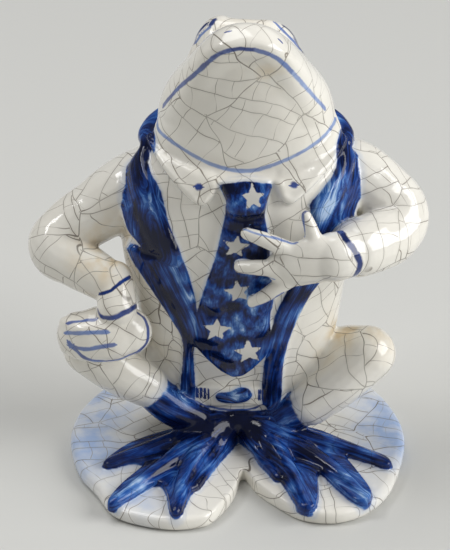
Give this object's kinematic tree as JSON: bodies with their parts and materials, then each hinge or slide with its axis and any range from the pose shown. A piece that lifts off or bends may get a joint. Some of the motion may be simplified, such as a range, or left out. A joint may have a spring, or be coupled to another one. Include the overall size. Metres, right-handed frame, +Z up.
{
  "type": "pottery frog figurine",
  "caption": "Glazed pottery frog in jacket and tie, sitting cross-legged on a lily pad with one hand on a knee and the other on its chest.",
  "frame": {"origin": "centre of the lily pad's flat underside", "axes": "+Z up, +Y towards the frog's back, +X towards the frog's left hand"},
  "size_m": [0.1279, 0.1035, 0.158],
  "materials": {
    "white_glaze": "gloss",
    "blue_glaze": "gloss"
  },
  "bodies": {
    "root": {"lily_pad": "white_glaze", "torso": "white_glaze", "head": "white_glaze", "eye_right": "white_glaze", "eye_left": "white_glaze", "jacket_collar": "blue_glaze", "lapel_right": "blue_glaze", "lapel_left": "blue_glaze", "shirt_collar": "white_glaze", "tie_knot": "blue_glaze", "tie_blade": "blue_glaze", "waistband": "white_glaze", "belt_buckle": "blue_glaze", "sleeve_right": "white_glaze", "sleeve_left": "white_glaze", "cuff_right": "white_glaze", "cuff_left": "white_glaze", "hand_right": "white_glaze", "hand_left": "white_glaze", "leg_right": "white_glaze", "leg_left": "white_glaze", "sock_right": "blue_glaze", "sock_left": "blue_glaze", "foot_right": "blue_glaze", "foot_left": "blue_glaze"}
  },
  "joints": []
}
